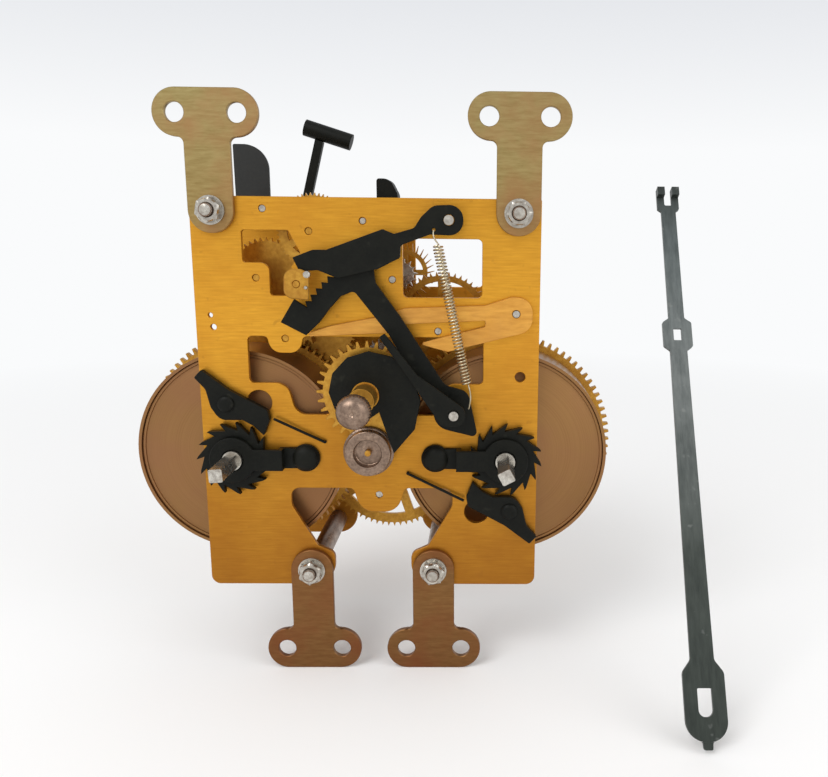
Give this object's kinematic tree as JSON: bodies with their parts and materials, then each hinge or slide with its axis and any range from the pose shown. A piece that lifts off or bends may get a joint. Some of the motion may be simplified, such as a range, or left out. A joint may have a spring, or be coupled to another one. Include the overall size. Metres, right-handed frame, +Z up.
{
  "type": "longcase clock movement",
  "caption": "Spring-driven striking clock movement with brass plates, open wheel trains, front rack strike work, slotted mounting brackets and a loose pendulum leader.",
  "frame": {"origin": "on the centre arbor at the front face of the front plate", "axes": "+X to the right seen from the dial side, +Y from the dial side to the back, +Z up"},
  "size_m": [0.1929, 0.1086, 0.1909],
  "materials": {
    "brass_plate": "satin",
    "brass_wheel": "satin",
    "brass_lever": "satin",
    "zinc_steel": "passivated",
    "bright_steel": "bright",
    "black_steel": "black",
    "grey_steel": "satin",
    "spring_steel": "satin"
  },
  "bodies": {
    "root": {"front_plate": "brass_plate", "back_plate": "brass_plate", "pillars": "grey_steel", "pillar_washers": "bright_steel", "pillar_nuts": "bright_steel", "upper_brackets": "zinc_steel", "lower_brackets": "zinc_steel", "time_ratchet_bridge": "black_steel", "strike_ratchet_bridge": "black_steel", "black_screws": "black_steel", "time_click_spring": "spring_steel", "strike_click_spring": "spring_steel", "lever_posts": "bright_steel", "suspension_cock": "black_steel", "corner_plate": "black_steel", "tension_spring": "spring_steel"},
    "centre": {"centre_arbor": "bright_steel", "centre_wheel": "brass_wheel", "cannon_pinion": "brass_wheel", "hand_nut": "grey_steel"},
    "second": {"second_arbor": "bright_steel", "second_wheel": "brass_wheel"},
    "time_barrel": {"time_barrel_drum": "zinc_steel", "time_barrel_cover": "zinc_steel", "time_mainspring": "spring_steel", "time_great_wheel": "brass_wheel"},
    "third": {"third_arbor": "bright_steel", "third_wheel": "brass_wheel"},
    "escape": {"escape_arbor": "bright_steel", "escape_wheel": "brass_wheel"},
    "minute": {"minute_wheel": "brass_wheel", "clutch_cup": "grey_steel"},
    "hour": {"hour_wheel": "brass_wheel", "snail": "black_steel"},
    "anchor_body": {"anchor": "bright_steel", "crutch": "bright_steel"},
    "pin": {"pin_wheel": "brass_wheel"},
    "strike_barrel": {"strike_barrel_drum": "zinc_steel", "strike_barrel_cover": "zinc_steel", "strike_mainspring": "spring_steel", "strike_great_wheel": "brass_wheel"},
    "strike_second": {"strike_second_wheel": "brass_wheel"},
    "gathering": {"gathering_wheel": "brass_wheel", "gathering_pallet": "brass_wheel"},
    "warning": {"warning_wheel": "brass_wheel"},
    "fly_body": {"fly": "brass_wheel"},
    "hammer": {"hammer_arbor": "bright_steel", "hammer_stalk": "black_steel", "hammer_head": "black_steel"},
    "rack_body": {"rack": "black_steel", "rack_tail": "black_steel"},
    "hook_body": {"rack_hook": "black_steel"},
    "lift_body": {"lifting_lever": "brass_lever"},
    "time_winder": {"time_winding_arbor": "bright_steel", "time_ratchet_wheel": "black_steel"},
    "strike_winder": {"strike_winding_arbor": "bright_steel", "strike_ratchet_wheel": "black_steel"},
    "time_click_body": {"time_click": "black_steel"},
    "strike_click_body": {"strike_click": "black_steel"},
    "leader": {"pendulum_leader": "black_steel"}
  },
  "joints": [
    {"name": "centre_spin", "type": "hinge", "parent": "root", "child": "centre", "pos_m": [0, 0, 0], "axis": [0, 1, 0], "continuous": true},
    {"name": "second_spin", "type": "hinge", "parent": "root", "child": "second", "pos_m": [0.0024, 0, -0.036], "axis": [0, 1, 0], "continuous": true},
    {"name": "time_barrel_spin", "type": "hinge", "parent": "root", "child": "time_barrel", "pos_m": [0.0444, 0, -0.023], "axis": [0, 1, 0], "continuous": true},
    {"name": "third_spin", "type": "hinge", "parent": "root", "child": "third", "pos_m": [0.0223, 0, 0.0192], "axis": [0, 1, 0], "continuous": true},
    {"name": "escape_spin", "type": "hinge", "parent": "root", "child": "escape", "pos_m": [0.0078, 0, 0.0356], "axis": [0, 1, 0], "continuous": true},
    {"name": "minute_spin", "type": "hinge", "parent": "root", "child": "minute", "pos_m": [0, 0, -0.0195], "axis": [0, 1, 0], "continuous": true},
    {"name": "hour_spin", "type": "hinge", "parent": "root", "child": "hour", "pos_m": [0, 0, 0], "axis": [0, 1, 0], "continuous": true},
    {"name": "anchor_rock", "type": "hinge", "parent": "root", "child": "anchor_body", "pos_m": [-0.0012, 0, 0.0538], "axis": [0, 1, 0], "range_deg": [-2, 2]},
    {"name": "pin_spin", "type": "hinge", "parent": "root", "child": "pin", "pos_m": [-0.0353, 0, 0.0358], "axis": [0, 1, 0], "continuous": true},
    {"name": "strike_barrel_spin", "type": "hinge", "parent": "root", "child": "strike_barrel", "pos_m": [-0.0444, 0, -0.023], "axis": [0, 1, 0], "continuous": true},
    {"name": "strike_second_spin", "type": "hinge", "parent": "root", "child": "strike_second", "pos_m": [-0.0268, 0, 0.0165], "axis": [0, 1, 0], "continuous": true},
    {"name": "gathering_spin", "type": "hinge", "parent": "root", "child": "gathering", "pos_m": [-0.0204, 0, 0.0346], "axis": [0, 1, 0], "continuous": true},
    {"name": "warning_spin", "type": "hinge", "parent": "root", "child": "warning", "pos_m": [-0.0182, 0, 0.0505], "axis": [0, 1, 0], "continuous": true},
    {"name": "fly_spin", "type": "hinge", "parent": "root", "child": "fly_body", "pos_m": [-0.0066, 0, 0.044], "axis": [0, 1, 0], "continuous": true},
    {"name": "hammer_swing", "type": "hinge", "parent": "root", "child": "hammer", "pos_m": [-0.0324, 0, 0.0573], "axis": [0, 1, 0], "range_deg": [-8, 6]},
    {"name": "rack_fall", "type": "hinge", "parent": "root", "child": "rack_body", "pos_m": [0.0278, 0, -0.0058], "axis": [0, 1, 0], "range_deg": [-14, 1]},
    {"name": "hook_lift", "type": "hinge", "parent": "root", "child": "hook_body", "pos_m": [0.0262, 0, 0.0543], "axis": [0, 1, 0], "range_deg": [-1, 8], "deforming": ["tension_spring"]},
    {"name": "lever_lift", "type": "hinge", "parent": "root", "child": "lift_body", "pos_m": [0.0474, 0, 0.0252], "axis": [0, 1, 0], "range_deg": [-1, 5]},
    {"name": "time_wind", "type": "hinge", "parent": "root", "child": "time_winder", "pos_m": [0.0444, 0, -0.023], "axis": [0, 1, 0], "continuous": true},
    {"name": "strike_wind", "type": "hinge", "parent": "root", "child": "strike_winder", "pos_m": [-0.0444, 0, -0.023], "axis": [0, 1, 0], "continuous": true},
    {"name": "time_click_lift", "type": "hinge", "parent": "root", "child": "time_click_body", "pos_m": [0.046, 0, -0.0406], "axis": [0, 1, 0], "range_deg": [-6, 0], "deforming": ["time_click_spring"]},
    {"name": "strike_click_lift", "type": "hinge", "parent": "root", "child": "strike_click_body", "pos_m": [-0.046, 0, -0.0046], "axis": [0, 1, 0], "range_deg": [-6, 0], "deforming": ["strike_click_spring"]},
    {"name": "leader_lift", "type": "slide", "parent": "root", "child": "leader", "axis": [0, 0, 1], "range_m": [0, 0.15]}
  ],
  "couplings": [
    {"joint": "centre_spin", "follows": "time_barrel_spin", "ratio": 13.8},
    {"joint": "second_spin", "follows": "time_barrel_spin", "ratio": -6},
    {"joint": "third_spin", "follows": "time_barrel_spin", "ratio": -110.4},
    {"joint": "escape_spin", "follows": "time_barrel_spin", "ratio": 378.51},
    {"joint": "minute_spin", "follows": "time_barrel_spin", "ratio": -4.6},
    {"joint": "hour_spin", "follows": "time_barrel_spin", "ratio": 1.15},
    {"joint": "pin_spin", "follows": "strike_barrel_spin", "ratio": 35},
    {"joint": "strike_second_spin", "follows": "strike_barrel_spin", "ratio": -7},
    {"joint": "gathering_spin", "follows": "strike_barrel_spin", "ratio": -140},
    {"joint": "warning_spin", "follows": "strike_barrel_spin", "ratio": 420},
    {"joint": "fly_spin", "follows": "strike_barrel_spin", "ratio": -3240}
  ]
}
